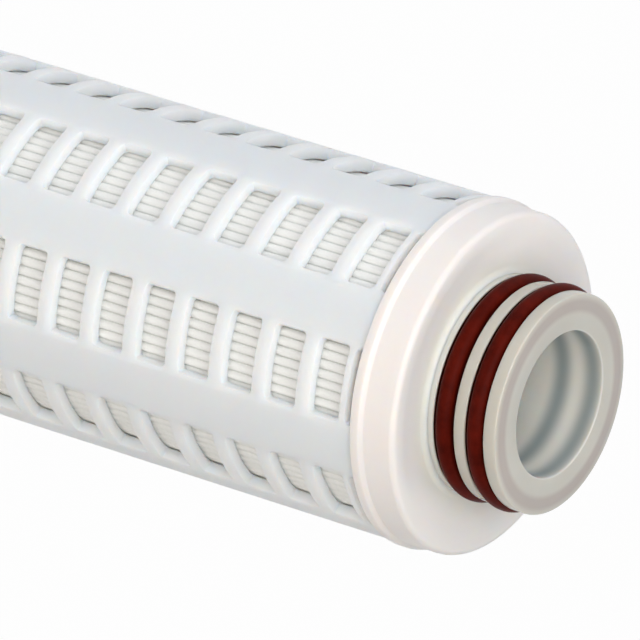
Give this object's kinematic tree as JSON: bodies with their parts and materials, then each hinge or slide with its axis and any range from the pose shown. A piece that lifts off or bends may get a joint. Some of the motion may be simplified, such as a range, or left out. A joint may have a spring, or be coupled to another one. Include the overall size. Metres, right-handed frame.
{
  "type": "pleated membrane filter cartridge",
  "caption": "Pleated membrane filter cartridge: windowed outer cage, flat closed end cap, and a double O-ring plug with an open bore on the other end.",
  "frame": {"origin": "centre of the closed end cap's flat face, which the cartridge stands on", "axes": "+Z along the axis from the closed end towards the plug's nose; a solid band of the cage, between two rows of windows, is centred on +X"},
  "size_m": [0.07, 0.07, 0.2627],
  "materials": {
    "cage_plastic": "satin",
    "cap_plastic": "satin",
    "plug_plastic": "semi-gloss, translucent",
    "seal_rubber": "satin",
    "core_plastic": "satin",
    "support_sheet": "non-woven",
    "membrane_sheet": "smooth"
  },
  "bodies": {
    "root": {"outer_cage": "cage_plastic", "outlet_end_cap": "cap_plastic", "closed_end_cap": "cap_plastic", "plug_adapter": "plug_plastic", "front_o_ring": "seal_rubber", "rear_o_ring": "seal_rubber", "inner_core": "core_plastic", "upstream_support": "support_sheet", "filter_membrane": "membrane_sheet", "downstream_support": "support_sheet"}
  },
  "joints": []
}
